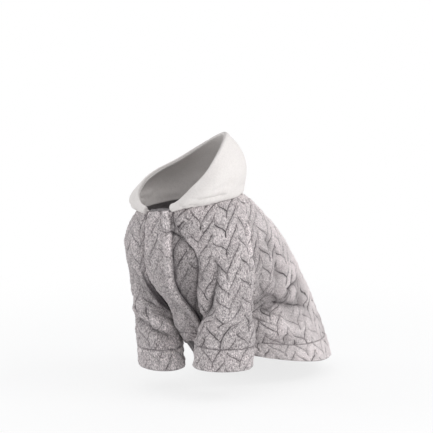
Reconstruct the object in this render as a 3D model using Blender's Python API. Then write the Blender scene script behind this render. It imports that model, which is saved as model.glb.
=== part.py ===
# Hooded plush coat for a small dog, in the shape it keeps when worn by a sitting dog.
# Metres, +Z up; the wearer faces -Y and its left side is +X.
# The origin is where the coat rests on the withers, on the inner face of the back.

import math

import bmesh
import bpy
import numpy as np

MM = 0.001
COLLECTION = "dog_sweatshirt"
ORIGIN = "coat_origin"

# Driving sizes, in millimetres unless the name says otherwise.
CLOTH_THICKNESS = 2.5
FLEECE_THICKNESS = 3.0
SEAM_GAP = 0.3
HEM_BAND_START = 0.885
CUFF_START = {"left": 0.83, "right": 0.865}
UNDERARM_ALONG = 0.72
UNDERARM_ON_SLEEVE = 0.66
ROWS_ABOVE_UNDERARM = 0.75
BAND_ROWS = {"body": 20, "hem": 2}
UNDER_LAP_SHARE = 0.4
LAP_LIFT_START = 1.1
LAP_LIFT_FULL = 0.5
CUFF_HEIGHTS = {"left": 22.0, "right": 13.0}
WITHERS = (0.0, 64.0, 176.5)
CORNER_FULLNESS = 0.07
SHOULDER_SWELL = 9.0
PINCH_START = -0.3
PINCH_FULL = 0.9

# The body of the coat is a row of rings from the neck seam to the hem edge.
# Each ring runs through a point on the chest line and one on the back line.
BODY_COLUMNS = ("along", "front_y", "front_z", "back_y", "back_z",
                "half_width", "pinch", "side_drop", "roll_deg")
BODY_RINGS = (
    (0.00, -48, 184, 50, 188, 49, 0.00, 0, 9.0),
    (0.10, -50, 170, 64, 178, 56, 0.00, 0, 8.0),
    (0.20, -50, 155, 83, 164, 60, 0.00, 1, 6.0),
    (0.35, -47, 132, 110, 142, 62, 0.00, 2, 4.0),
    (0.50, -36, 109, 136, 115, 62, 0.12, 4, 3.0),
    (0.60, -27, 96, 152, 94, 63, 0.30, 6, 3.0),
    (0.72, -16, 80, 170, 66, 65, 0.56, 10, 4.0),
    (0.80, -11, 67, 180, 47, 67, 0.62, 13, 5.0),
    (0.92, -1, 54, 192, 20, 69, 0.64, 17, 6.0),
    (1.00, 7, 46, 197, 3, 71, 0.60, 19, 7.0),
)

# Angles round the body, in degrees from the middle of the chest. The two raglan
# seams meet at the underarm, and one side seam goes on from there to the hem.
LAP_COLUMNS = ("along", "lap_edge")
LAP_ROWS = (
    (0.00, 15.5),
    (0.20, 15.5),
    (0.35, 14),
    (0.50, 11.5),
    (0.60, 14.5),
    (0.66, 19),
    (0.72, 25),
    (0.80, 31),
    (1.00, 34),
)
RAGLAN_COLUMNS = ("along", "front_left", "front_right", "back")
RAGLAN_ROWS = (
    (0.00, 19, 17, 118),
    (0.10, 19, 16, 101),
    (0.18, 26, 16, 90),
    (0.26, 33, 17, 85),
    (0.35, 35, 20, 80),
    (0.50, 31, 27, 72),
    (0.60, 30, 32, 62),
    (0.66, 34, 37, 55),
    (0.72, 46.8, 46.8, 46.8),
)
SLEEVE_LIFT_ZONE = {"front": (0.55, 0.69), "back": (0.44, 0.58)}
MITRE_END = {"front": (0.63, 0.70), "back": (0.53, 0.60)}
SIDE_SEAM_COLUMNS = ("along", "angle")
SIDE_SEAM_ROWS = (
    (0.72, 46.8),
    (0.80, 50),
    (1.00, 60),
)

# Each sleeve is a row of ovals from the neck seam to the cuff edge.
SLEEVE_COLUMNS = ("along", "centre_x", "centre_y", "wide", "narrow", "turn_deg")
SLEEVE_OVALS = (
    (0.00, 30, -4, 34, 26, 35),
    (0.20, 38, -3, 34, 28, 35),
    (0.35, 42, 0, 33, 27, 35),
    (0.50, 45, 3, 29, 24, 35),
    (0.66, 46, 3.5, 24.6, 19, 35),
    (0.78, 43, 3.2, 27.6, 20.2, 35),
    (1.00, 38.8, 4, 27.6, 21.3, 35),
)

# The hood stands on the neck seam; angles in degrees from the middle of the chest.
HOOD_COLUMNS = ("angle", "height", "bulge", "lean")
HOOD_RIBS = (
    (16, 3, 3, 1),
    (28, 8, 7, 1),
    (40, 16, 8, 0),
    (60, 28, 8, -3),
    (75, 38, 6, -6),
    (95, 47, 5, -11),
    (125, 53, 5, -17),
    (155, 56, 5, -19),
    (180, 57, 5, -20),
)
HOOD_SKEW = 0.2
HOOD_LEAN_POWER = 3.5
HOOD_START_DEG = 16

# The largest folds, each from one place to another; a depth below 0 is a trough.
# On the body a place is an angle in degrees and a share of the length from neck to hem.
FOLD_COLUMNS = ("from_across", "from_along", "to_across", "to_along", "width", "depth")
BODY_FOLDS = (
    (75, 0.74, 106, 0.33, 18, -4.0),
    (86, 0.70, 98, 0.42, 16, 2.5),
    (84, 0.68, 102, 0.49, 14, -3.0),
    (90, 0.65, 112, 0.69, 13, -4.5),
    (111, 0.66, 127, 0.57, 13, -3.5),
    (94, 0.70, 97, 0.83, 13, -2.5),
    (78, 0.77, 93, 0.81, 17, 4.0),
    (150, 0.30, 168, 0.80, 26, 2.5),
    (196, 0.35, 188, 0.85, 24, -2.5),
    (286, 0.72, 258, 0.36, 19, -4.0),
    (272, 0.70, 262, 0.47, 15, 3.0),
    (264, 0.66, 240, 0.60, 14, -4.0),
    (276, 0.79, 262, 0.82, 17, 3.5),
    (15, 0.16, 26, 0.21, 12, -2.0),
)
# On a sleeve a place is a share of the way round from the front seam and a share of the length.
SLEEVE_FOLDS = {
    "left": (
        (0.27, 0.33, 0.20, 0.55, 15, -4.0),
        (0.20, 0.55, 0.16, 0.64, 14, -3.0),
        (0.62, 0.60, 0.80, 0.70, 15, -2.5),
        (0.36, 0.42, 0.33, 0.62, 18, 2.0),
    ),
    "right": (
        (0.16, 0.50, 0.13, 0.62, 15, -3.0),
        (0.34, 0.68, 0.15, 0.78, 13, -3.5),
        (0.33, 0.61, 0.17, 0.71, 15, 2.5),
        (0.60, 0.62, 0.78, 0.72, 15, -2.5),
    ),
}
BODY_GIRTH_PER_DEGREE = 1.15
BODY_LENGTH = 185.0
SLEEVE_GIRTH = 150.0
SLEEVE_LENGTH = 175.0

GREY_PLUSH = (0.36, 0.34, 0.35)
WHITE_FLEECE = (0.82, 0.81, 0.80)


def column(rows, names, name):
    return np.array([row[names.index(name)] for row in rows], dtype=float)


def follow(rows, names, name, position):
    """A smooth curve through one column, read at the given positions of the first column."""
    known = column(rows, names, names[0])
    values = column(rows, names, name)
    slopes = np.gradient(values, known)
    cell = np.clip(np.searchsorted(known, position, side="right") - 1, 0, len(known) - 2)
    span = known[cell + 1] - known[cell]
    part = (position - known[cell]) / span
    start = (1 + 2 * part) * (1 - part) ** 2 * values[cell]
    end = part ** 2 * (3 - 2 * part) * values[cell + 1]
    pull = part * (1 - part) ** 2 * span * slopes[cell] - part ** 2 * (1 - part) * span * slopes[cell + 1]
    return start + end + pull


def ease(low, high, position):
    part = np.clip((position - low) / (high - low), 0, 1)
    return part * part * (3 - 2 * part)


def unit(vectors):
    return vectors / np.linalg.norm(vectors, axis=-1, keepdims=True)


def body_surface(angle, along):
    """Middle of the cloth of the body at an angle in radians and a place from neck to hem."""
    ring = {name: follow(BODY_RINGS, BODY_COLUMNS, name, along) for name in BODY_COLUMNS[1:]}
    across = np.sin(angle) * (1 + CORNER_FULLNESS * np.cos(angle) ** 2)
    ahead = np.cos(angle) * (1 + CORNER_FULLNESS * np.sin(angle) ** 2)
    narrowing = 1 - ring["pinch"] * ease(PINCH_START, PINCH_FULL, ahead)
    x = ring["half_width"] * across * narrowing
    y = (ring["front_y"] + ring["back_y"]) / 2 + (ring["front_y"] - ring["back_y"]) / 2 * ahead
    z = (ring["front_z"] + ring["back_z"]) / 2 + (ring["front_z"] - ring["back_z"]) / 2 * ahead
    z = z - ring["side_drop"] * np.sin(angle) ** 2 + x * np.tan(np.radians(ring["roll_deg"]))
    return np.stack([x, y, z], axis=-1)


def surface_normal(surface, across, along, step=1e-3):
    """Outward unit normal of a surface that runs anticlockwise seen from above and downwards."""
    by_across = surface(across + step, along) - surface(across - step, along)
    by_along = surface(across, along + step) - surface(across, along - step)
    return unit(np.cross(by_along, by_across))


def fold_depth(folds, across, along, across_size, along_size):
    """Sum of the folds at a place; the two sizes turn places into millimetres."""
    total = np.zeros_like(across)
    for from_across, from_along, to_across, to_along, width, depth in folds:
        run = np.array([(to_across - from_across) * across_size, (to_along - from_along) * along_size])
        aside = (across - from_across) * across_size
        below = (along - from_along) * along_size
        part = np.clip((aside * run[0] + below * run[1]) / (run @ run), 0, 1)
        distance = np.hypot(aside - part * run[0], below - part * run[1])
        total = total + depth * np.exp(-(2 * distance / width) ** 2)
    return total


def body_fold(angle, along):
    turn = np.degrees(angle) % 360
    return fold_depth(BODY_FOLDS, turn, along, BODY_GIRTH_PER_DEGREE, BODY_LENGTH)


def sleeve_fold(side, around, along):
    folds = SLEEVE_FOLDS["left" if side > 0 else "right"]
    inside = ease(0, 0.1, around) * ease(0, 0.1, 1 - around)
    return inside * fold_depth(folds, around, along, SLEEVE_GIRTH, SLEEVE_LENGTH)


def lap_angle(along):
    return np.radians(follow(LAP_ROWS, LAP_COLUMNS, "lap_edge", along))


def seam_angle(side, name, along):
    """The front or back raglan seam, and below the underarm the side seam."""
    word = name if name == "back" else "front_left" if side > 0 else "front_right"
    raglan = follow(RAGLAN_ROWS, RAGLAN_COLUMNS, word, np.minimum(along, UNDERARM_ALONG))
    side = follow(SIDE_SEAM_ROWS, SIDE_SEAM_COLUMNS, "angle", along)
    return np.radians(np.where(along < UNDERARM_ALONG, raglan, side))


def body_normal(angle, along):
    return surface_normal(body_surface, angle, along)


def sleeve_lift(name, along):
    """Towards the underarm a sleeve's edge comes to lie on the body panel, not against its edge."""
    start, full = SLEEVE_LIFT_ZONE[name]
    return (CLOTH_THICKNESS + SEAM_GAP) * ease(start, full, along)


def sleeve_surface(side, around, along):
    """Middle of the cloth of a sleeve; around runs from the front raglan seam to the back one."""
    on_body = UNDERARM_ALONG * np.minimum(along / UNDERARM_ON_SLEEVE, 1)
    front = seam_angle(side, "front", on_body)
    back = seam_angle(side, "back", on_body)
    angle = side * (front + (back - front) * around)
    swell = SHOULDER_SWELL * ease(0, 0.25, on_body) * np.sin(math.pi * np.clip(around, 0, 1))
    lifts = [sleeve_lift(name, on_body) for name in ("front", "back")]
    lift = lifts[0] + (lifts[1] - lifts[0]) * around
    skin = body_surface(angle, on_body) + body_normal(angle, on_body) * (swell + lift)[..., None]
    edges = [body_surface(side * seam, on_body) + body_normal(side * seam, on_body) * lift[..., None]
             for seam, lift in zip((front, back), lifts)]
    held = np.minimum(along, UNDERARM_ON_SLEEVE)
    turns = []
    reaches = []
    for edge in edges:
        turn, reach = oval_polar(side * edge[..., 0], edge[..., 1], held)
        turns.append(turn)
        reaches.append(1 + (reach - 1) * (1 - ease(UNDERARM_ON_SLEEVE, UNDERARM_ON_SLEEVE + 0.1, along)))
    turns[0] = np.where(turns[0] > math.radians(90), turns[0] - 2 * math.pi, turns[0])
    turn = turns[0] + (turns[1] - turns[0]) * around
    reach = 1 + (reaches[0] - 1) * (1 - around) ** 3 + (reaches[1] - 1) * around ** 3
    x, y = oval_point(turn, reach, along)
    blend = ease(0.15, 0.6, on_body)
    below = np.maximum((along - UNDERARM_ON_SLEEVE) / (1 - UNDERARM_ON_SLEEVE), 0)
    cuff_z = CUFF_HEIGHTS["left" if side > 0 else "right"]
    z = skin[..., 2] + (cuff_z - skin[..., 2]) * below
    return np.stack([skin[..., 0] * (1 - blend) + side * x * blend, skin[..., 1] * (1 - blend) + y * blend, z],
                    axis=-1)


def oval_sizes(along):
    names = SLEEVE_COLUMNS[1:]
    return [follow(SLEEVE_OVALS, SLEEVE_COLUMNS, name, along) for name in names]


def oval_polar(x, y, along):
    """Turn and reach of a point seen from the middle of the sleeve's oval; the rim has reach 1."""
    centre_x, centre_y, wide, narrow, turn_deg = oval_sizes(along)
    tilt = np.radians(turn_deg)
    ahead = ((x - centre_x) * np.cos(tilt) + (y - centre_y) * np.sin(tilt)) / wide
    aside = ((y - centre_y) * np.cos(tilt) - (x - centre_x) * np.sin(tilt)) / narrow
    return np.arctan2(aside, ahead), np.hypot(aside, ahead)


def oval_point(turn, reach, along):
    centre_x, centre_y, wide, narrow, turn_deg = oval_sizes(along)
    tilt = np.radians(turn_deg)
    ahead = wide * reach * np.cos(turn)
    aside = narrow * reach * np.sin(turn)
    return centre_x + ahead * np.cos(tilt) - aside * np.sin(tilt), \
        centre_y + ahead * np.sin(tilt) + aside * np.cos(tilt)


def hood_surface(angle, up):
    """Middle of the fleece from the neck seam, where up is 0, to the face edge, where it is 1."""
    seam = body_surface(angle, np.zeros_like(angle))
    from_chest = np.degrees(np.abs(angle))
    height = follow(HOOD_RIBS, HOOD_COLUMNS, "height", from_chest) * (1 + HOOD_SKEW * np.sin(angle))
    bulge = follow(HOOD_RIBS, HOOD_COLUMNS, "bulge", from_chest)
    lean = follow(HOOD_RIBS, HOOD_COLUMNS, "lean", from_chest)
    out = bulge * np.sin(math.pi * up) + lean * np.abs(up) ** HOOD_LEAN_POWER
    x = seam[..., 0] + out * np.sin(angle)
    y = seam[..., 1] - out * np.cos(angle)
    z = seam[..., 2] + height * up
    return np.stack([x, y, z], axis=-1)


def staged(down, middle, bottom):
    """Rows that meet at the underarm on every piece, so that shared seams have the same points."""
    upper = middle * down / ROWS_ABOVE_UNDERARM
    lower = middle + (bottom - middle) * (down - ROWS_ABOVE_UNDERARM) / (1 - ROWS_ABOVE_UNDERARM)
    return np.where(down < ROWS_ABOVE_UNDERARM, upper, lower)


def sleeve_normal(side, around, along):
    def surface(across, down):
        return sleeve_surface(side, across, down)
    return surface_normal(surface, around, along) * side


def hood_normal(angle):
    return -surface_normal(hood_surface, angle, np.zeros_like(angle))


def neck_mitre(angle):
    """The way both sides of the neck seam are cut, half-way between body and hood."""
    return unit(body_normal(angle, np.zeros_like(angle)) + hood_normal(angle))


def raglan_mitre(side, name, along):
    """The way both sides of a raglan seam are cut; near the underarm the sleeve stands off instead."""
    flat = body_normal(side * seam_angle(side, name, along), along)
    edge = np.full_like(along, 0.0 if name == "front" else 1.0)
    leaning = sleeve_normal(side, edge, along * UNDERARM_ON_SLEEVE / UNDERARM_ALONG)
    share = (1 - ease(*MITRE_END[name], along))[..., None]
    return flat, leaning, share


def trimmed(surface):
    """The same surface with its four edges drawn in by half a seam gap."""
    def narrower(across, down):
        wide = np.linalg.norm(surface(across + 0.01, down) - surface(across - 0.01, down), axis=-1) / 0.02
        tall = np.linalg.norm(surface(across, down + 0.01) - surface(across, down - 0.01), axis=-1) / 0.02
        in_across = SEAM_GAP / 2 / wide
        in_down = SEAM_GAP / 2 / tall
        return surface(in_across + across * (1 - 2 * in_across), in_down + down * (1 - 2 * in_down))
    return narrower


def cloth_piece(name, surface, counts, thickness, material, outward, mitres):
    """A flat slab of cloth, one grid thick, bent onto its surface; a mitre turns an edge to a shared way."""
    slab = bmesh.new()
    bmesh.ops.create_grid(slab, x_segments=counts[0], y_segments=counts[1], size=0.5)
    bmesh.ops.solidify(slab, geom=slab.faces[:], thickness=1.0)
    flat = np.array([vertex.co[:] for vertex in slab.verts])
    across = flat[:, 0] + 0.5
    down = 0.5 - flat[:, 1]
    layer = np.where(np.abs(flat[:, 2]) > 0.5, -0.5, 0.5)
    narrow = trimmed(surface)
    own = surface_normal(narrow, across, down) * outward
    away = own.copy()
    for (place, value), shared in mitres:
        at_edge = np.abs((across if place == "across" else down) - value) < 1e-6
        toward = shared(across[at_edge], down[at_edge], own[at_edge])
        stretch = np.clip(np.sum(toward * own[at_edge], axis=-1), 0.6, 1)
        away[at_edge] = toward / stretch[:, None]
    bent = (narrow(across, down) + away * layer[:, None] * thickness) * MM
    for vertex, place in zip(slab.verts, bent):
        vertex.co = place
    bmesh.ops.recalc_face_normals(slab, faces=slab.faces[:])
    if slab.calc_volume(signed=True) < 0:
        bmesh.ops.reverse_faces(slab, faces=slab.faces[:])
    bmesh.ops.triangulate(slab, faces=slab.faces[:], quad_method="SHORT_EDGE")
    mesh = bpy.data.meshes.new(name)
    slab.to_mesh(mesh)
    slab.free()
    mesh.shade_smooth()
    mesh.set_sharp_from_angle(angle=math.radians(50))
    mesh.materials.append(material)
    piece = bpy.data.objects.new(name, mesh)
    bpy.data.collections[COLLECTION].objects.link(piece)
    piece.parent = bpy.data.objects[ORIGIN]
    return piece


def cloth_material(name, colour, roughness):
    material = bpy.data.materials.new(name)
    material.use_nodes = True
    shader = material.node_tree.nodes["Principled BSDF"]
    shader.inputs["Base Color"].default_value = (*colour, 1)
    shader.inputs["Roughness"].default_value = roughness
    shader.inputs["Metallic"].default_value = 0
    return material


def lap_lift(angle, along):
    """How far the right front stands off where it lies over the left front."""
    return (CLOTH_THICKNESS + SEAM_GAP) * ease(-LAP_LIFT_START, -LAP_LIFT_FULL, angle / lap_angle(along))


def mitre_way(own, flat, leaning, share):
    return unit(own * (1 - share) + unit(flat + leaning) * share)


def seam_line(which, along):
    """Angle of a line down the body: a side of the wearer and a seam, the lap's edge or what it hides."""
    side, word = which
    if word == "lap":
        return lap_angle(along)
    if word == "under":
        return -UNDER_LAP_SHARE * lap_angle(along)
    turn = seam_angle(side, word, along)
    return 2 * math.pi - turn if which == (-1, "back") else side * turn


def panel(name, lines, steps, band, lift, plush):
    """A body panel between its first and last lines, with a number of grid steps between each two."""
    stops = np.concatenate([[0], np.cumsum(steps)]) / sum(steps)

    def place(across, down):
        if band == "hem":
            along = HEM_BAND_START + (1 - HEM_BAND_START) * down
        else:
            along = staged(down, UNDERARM_ALONG, HEM_BAND_START)
        turns = [seam_line(line, along) for line in lines]
        cell = np.clip(np.searchsorted(stops, across, side="right") - 1, 0, len(steps) - 1)
        start = np.choose(cell, turns[:-1])
        end = np.choose(cell, turns[1:])
        return start + (end - start) * (across - stops[cell]) / (stops[cell + 1] - stops[cell]), along

    def surface(across, down):
        angle, along = place(across, down)
        stand_off = body_fold(angle, along) + (lift(angle, along) if lift else 0)
        return body_surface(angle, along) + body_normal(angle, along) * stand_off[..., None]

    def at_neck(across, down, own):
        return neck_mitre(place(across, down)[0])

    def at_hem(across, down, own):
        return body_normal(place(across, down)[0], np.full_like(across, HEM_BAND_START))

    mitres = [(("down", 0 if band == "hem" else 1), at_hem)]
    if band != "hem":
        for value, (side, word) in ((0, lines[0]), (1, lines[-1])):
            if word in MITRE_END:
                def at_raglan(across, down, own, side=side, word=word):
                    return mitre_way(own, *raglan_mitre(side, word, place(across, down)[1]))
                mitres.append((("across", value), at_raglan))
        mitres.append((("down", 0), at_neck))
    cloth_piece(name, surface, (sum(steps), BAND_ROWS[band]), CLOTH_THICKNESS, plush, 1, mitres)


def add_body(plush):
    for band, prefix in (("body", ""), ("hem", "hem_")):
        panel(prefix + "back", ((1, "back"), (-1, "back")), (22,), band, None, plush)
        panel(prefix + "front_left", ((-1, "under"), (1, "lap"), (1, "front")), (4, 4), band, None, plush)
        panel(prefix + "front_right", ((-1, "front"), (-1, "under"), (1, "lap")), (4, 4), band, lap_lift, plush)


def add_sleeve(word, side, plush):
    cuff_start = CUFF_START[word]

    def sleeve(across, down):
        along = staged(down, UNDERARM_ON_SLEEVE, cuff_start)
        stand_off = sleeve_fold(side, across, along)[..., None]
        return sleeve_surface(side, across, along) + sleeve_normal(side, across, along) * stand_off

    def cuff(across, down):
        return sleeve_surface(side, across, cuff_start + (1 - cuff_start) * down)

    def on_body(down):
        return np.minimum(staged(down, UNDERARM_ON_SLEEVE, cuff_start) / UNDERARM_ON_SLEEVE, 1) * UNDERARM_ALONG

    def at_front(across, down, own):
        return mitre_way(own, *raglan_mitre(side, "front", on_body(down)))

    def at_back(across, down, own):
        return mitre_way(own, *raglan_mitre(side, "back", on_body(down)))

    def at_cuff(across, down, own):
        return sleeve_normal(side, across, np.full_like(across, cuff_start))

    def at_neck(across, down, own):
        front = seam_angle(side, "front", np.zeros_like(across))
        back = seam_angle(side, "back", np.zeros_like(across))
        return neck_mitre(side * (front + (back - front) * across))

    mitres = ((("down", 1), at_cuff), (("across", 0), at_front), (("across", 1), at_back), (("down", 0), at_neck))
    cloth_piece("sleeve_" + word, sleeve, (20, BAND_ROWS["body"]), CLOTH_THICKNESS, plush, side, mitres)
    cloth_piece("cuff_" + word, cuff, (20, BAND_ROWS["hem"]), CLOTH_THICKNESS, plush, side,
                ((("down", 0), at_cuff),))


def add_hood(word, side, fleece):
    def turn(across):
        start = math.radians(HOOD_START_DEG)
        return side * (start + (math.pi - start) * across)

    def surface(across, down):
        return hood_surface(turn(across), 1 - down)

    def at_neck(across, down, own):
        return neck_mitre(turn(across))

    cloth_piece("hood_" + word, surface, (24, 7), FLEECE_THICKNESS, fleece, side, ((("down", 1), at_neck),))


def main():
    for old in list(bpy.data.objects):
        bpy.data.objects.remove(old)
    bpy.context.scene.collection.children.link(bpy.data.collections.new(COLLECTION))
    origin = bpy.data.objects.new(ORIGIN, None)
    origin.location = [-value * MM for value in WITHERS]
    bpy.data.collections[COLLECTION].objects.link(origin)
    plush = cloth_material("grey_plush", GREY_PLUSH, 0.9)
    fleece = cloth_material("white_fleece", WHITE_FLEECE, 0.95)
    add_body(plush)
    for word, side in (("left", 1), ("right", -1)):
        add_sleeve(word, side, plush)
        add_hood(word, side, fleece)


main()
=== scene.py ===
import math

import bmesh
import bpy
import numpy as np
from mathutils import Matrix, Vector


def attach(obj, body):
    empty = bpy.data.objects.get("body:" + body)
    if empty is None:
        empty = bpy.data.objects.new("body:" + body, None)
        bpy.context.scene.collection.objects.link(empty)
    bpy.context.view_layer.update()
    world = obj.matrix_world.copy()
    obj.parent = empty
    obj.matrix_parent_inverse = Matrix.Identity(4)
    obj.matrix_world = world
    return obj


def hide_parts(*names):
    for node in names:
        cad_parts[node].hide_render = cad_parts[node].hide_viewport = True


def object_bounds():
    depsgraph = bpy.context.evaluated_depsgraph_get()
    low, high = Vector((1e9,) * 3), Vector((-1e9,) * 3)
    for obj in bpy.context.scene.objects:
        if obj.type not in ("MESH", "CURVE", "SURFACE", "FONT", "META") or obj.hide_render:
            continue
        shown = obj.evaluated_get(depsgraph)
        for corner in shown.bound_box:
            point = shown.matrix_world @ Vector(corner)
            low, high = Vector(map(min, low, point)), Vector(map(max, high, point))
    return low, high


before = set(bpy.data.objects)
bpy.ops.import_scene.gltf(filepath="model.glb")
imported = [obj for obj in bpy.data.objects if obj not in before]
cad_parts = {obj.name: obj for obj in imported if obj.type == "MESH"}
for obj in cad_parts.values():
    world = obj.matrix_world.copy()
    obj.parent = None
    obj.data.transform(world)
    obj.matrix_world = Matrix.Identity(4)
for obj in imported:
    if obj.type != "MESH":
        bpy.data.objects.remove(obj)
packedLow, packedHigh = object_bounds()
mm = 0.001

# Sizes of the cut in millimetres, and places as shares of a length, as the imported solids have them.
clothThickness = 2.5
fleeceThickness = 3.0
seamGap = 0.3
sewnGap = 0.06  # drawn tight in the stitching
hemBandStart = 0.885
cuffStart = {"left": 0.83, "right": 0.865}
underarmAlong = 0.72
underarmOnSleeve = 0.66
rowsAboveUnderarm = 0.75
underLapShare = 0.4
lapLiftStart = 1.1
lapLiftFull = 0.5
cuffHeights = {"left": 22.0, "right": 13.0}
withers = (0.0, 64.0, 176.5)
cornerFullness = 0.07
shoulderSwell = 9.0
swellFull = 0.25
pinchStart = -0.3
pinchFull = 0.9
ovalStart = 0.15  # where a sleeve begins to leave the body for its own ovals
ovalFull = 0.6
ovalSettle = 0.1
ovalTurnLimit = 90
foldMargin = 0.1

bodyColumns = ("along", "frontY", "frontZ", "backY", "backZ", "halfWidth", "pinch", "sideDrop", "rollDeg")
bodyRings = (
    (0.00, -48, 184, 50, 188, 49, 0.00, 0, 9.0),
    (0.10, -50, 170, 64, 178, 56, 0.00, 0, 8.0),
    (0.20, -50, 155, 83, 164, 60, 0.00, 1, 6.0),
    (0.35, -47, 132, 110, 142, 62, 0.00, 2, 4.0),
    (0.50, -36, 109, 136, 115, 62, 0.12, 4, 3.0),
    (0.60, -27, 96, 152, 94, 63, 0.30, 6, 3.0),
    (0.72, -16, 80, 170, 66, 65, 0.56, 10, 4.0),
    (0.80, -11, 67, 180, 47, 67, 0.62, 13, 5.0),
    (0.92, -1, 54, 192, 20, 69, 0.64, 17, 6.0),
    (1.00, 7, 46, 197, 3, 71, 0.60, 19, 7.0),
)
lapColumns = ("along", "lapEdge")
lapRows = (
    (0.00, 15.5),
    (0.20, 15.5),
    (0.35, 14),
    (0.50, 11.5),
    (0.60, 14.5),
    (0.66, 19),
    (0.72, 25),
    (0.80, 31),
    (1.00, 34),
)
raglanColumns = ("along", "frontLeft", "frontRight", "back")
raglanRows = (
    (0.00, 19, 17, 118),
    (0.10, 19, 16, 101),
    (0.18, 26, 16, 90),
    (0.26, 33, 17, 85),
    (0.35, 35, 20, 80),
    (0.50, 31, 27, 72),
    (0.60, 30, 32, 62),
    (0.66, 34, 37, 55),
    (0.72, 46.8, 46.8, 46.8),
)
sleeveLiftZone = {"front": (0.55, 0.69), "back": (0.44, 0.58)}
mitreEnd = {"front": (0.63, 0.70), "back": (0.53, 0.60)}
sideSeamColumns = ("along", "angle")
sideSeamRows = ((0.72, 46.8), (0.80, 50), (1.00, 60))
sleeveColumns = ("along", "centreX", "centreY", "wide", "narrow", "turnDeg")
sleeveOvals = (
    (0.00, 30, -4, 34, 26, 35),
    (0.20, 38, -3, 34, 28, 35),
    (0.35, 42, 0, 33, 27, 35),
    (0.50, 45, 3, 29, 24, 35),
    (0.66, 46, 3.5, 24.6, 19, 35),
    (0.78, 43, 3.2, 27.6, 20.2, 35),
    (1.00, 38.8, 4, 27.6, 21.3, 35),
)
hoodColumns = ("angle", "height", "bulge", "lean")
hoodRibs = (
    (16, 3, 3, 1),
    (28, 8, 7, 1),
    (40, 16, 8, 0),
    (60, 28, 8, -3),
    (75, 38, 6, -6),
    (95, 47, 5, -11),
    (125, 53, 5, -17),
    (155, 56, 5, -19),
    (180, 57, 5, -20),
)
hoodSkew = 0.2
hoodLeanPower = 3.5
hoodStartDeg = 16

# Folds run from one place to another, each place as across and along; then width and depth, a trough below 0.
bodyFolds = (
    (75, 0.74, 106, 0.33, 18, -4.0),
    (86, 0.70, 98, 0.42, 16, 2.5),
    (84, 0.68, 102, 0.49, 14, -3.0),
    (90, 0.65, 112, 0.69, 13, -4.5),
    (111, 0.66, 127, 0.57, 13, -3.5),
    (94, 0.70, 97, 0.83, 13, -2.5),
    (78, 0.77, 93, 0.81, 17, 4.0),
    (150, 0.30, 168, 0.80, 26, 2.5),
    (196, 0.35, 188, 0.85, 24, -2.5),
    (286, 0.72, 258, 0.36, 19, -4.0),
    (272, 0.70, 262, 0.47, 15, 3.0),
    (264, 0.66, 240, 0.60, 14, -4.0),
    (276, 0.79, 262, 0.82, 17, 3.5),
    (15, 0.16, 26, 0.21, 12, -2.0),
)
sleeveFolds = {
    "left": (
        (0.27, 0.33, 0.20, 0.55, 15, -4.0),
        (0.20, 0.55, 0.16, 0.64, 14, -3.0),
        (0.62, 0.60, 0.80, 0.70, 15, -2.5),
        (0.36, 0.42, 0.33, 0.62, 18, 2.0),
    ),
    "right": (
        (0.16, 0.50, 0.13, 0.62, 15, -3.0),
        (0.34, 0.68, 0.15, 0.78, 13, -3.5),
        (0.33, 0.61, 0.17, 0.71, 15, 2.5),
        (0.60, 0.62, 0.78, 0.72, 15, -2.5),
    ),
}
bodyGirthPerDegree = 1.15
bodyLength = 185.0
sleeveGirth = 150.0
sleeveLength = 175.0

# The embossed braid: leaves on both sides of each valley line, in millimetres of flat cloth.
braid = {"leafWidth": 14.0, "pitch": 19.8, "steepRise": 25.0, "slightRise": 13.5, "bow": 0.05,
         "stagger": 1.6, "staggerStep": 2.3, "groove": 0.9, "depth": 1.6, "crown": 3.4, "crownPower": 1.2,
         "press": 0.12, "stem": (0.252, 0.546), "lineStem": (0.294, 0.504), "stemFade": 6.0}
braidLean = {side: math.cos(math.atan2(braid[side + "Rise"], braid["leafWidth"]))
             for side in ("steep", "slight")}
braidDrift = {"across": ((1.1, 30, 0), (0.25, 9, 3)),  # amount, size of the bumps and step of the seed
              "down": ((1.4, 33, 1), (0.3, 10, 4))}
pressing = {"middle": 0.78, "sway": 0.22, "size": 40, "leafSway": 0.1, "leafSteps": (12.9, 78.2),
            "least": 0.3, "unpressed": 0.6}
plainHeight = 0.8
pile = {"tuft": 2.1, "height": 0.16, "curl": 5.5, "curlHeight": 0.3}
fleeceBumps = {"middle": 0.5, "sways": ((0.3, 24, 0), (0.05, 3.2, 1))}
edgeShapes = {
    "sewn": {"dip": 1.0, "width": 2.2, "pucker": 0.32, "puckerPitch": 8.5, "reach": 6.0},
    "neck": {"dip": 1.1, "width": 2.4, "pucker": 0.4, "puckerPitch": 7.0, "reach": 6.0},
    "band": {"dip": 0.55, "width": 1.1, "pucker": 0.15, "puckerPitch": 6.0, "reach": 3.5},
    "ridge": {"dip": 0.9, "width": 1.0, "pucker": 0.2, "puckerPitch": 8.5, "reach": 5.0,
              "roll": 2.3, "rollAt": 3.2, "rollWidth": 2.5},
    "lap": {"round": 2.4, "roll": 2.5, "rollAt": 4.2, "rollWidth": 3.2,
            "groove": 0.5, "grooveAt": 9.4, "grooveWidth": 1.6},
    "rim": {"round": 2.2, "roll": 0.7, "rollAt": 3.0, "rollWidth": 2.6},
    "free": {"round": 1.7},
}
thinnestEdge = 0.04
puckerDrift = {"turn": 1.7, "size": 23}
puckerStart = 1.5
rollSway = {"share": 0.25, "size": 5.5, "turn": 1.3, "driftSize": 9.0}
# Painted light and shade: a painted highlight along a rolled lap or ridge edge, and painted shade in creases,
# lighter on raised folds.
paintedRollHighlight = {"share": 0.16, "at": 3.6, "width": 3.3}
creaseShade = {"fullDepth": 4.0, "share": 0.3, "deepShare": 0.12, "deepFrom": 0.6, "ridgeLimit": -0.4}
backingSway = {"height": 0.06, "size": 3.0, "seed": 77}
seamLineWidth = 0.9
leastMitre = 0.6
meshStep = 1.2
edgeSteps = (0.0, 0.4, 0.9, 1.6, 2.6)


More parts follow.
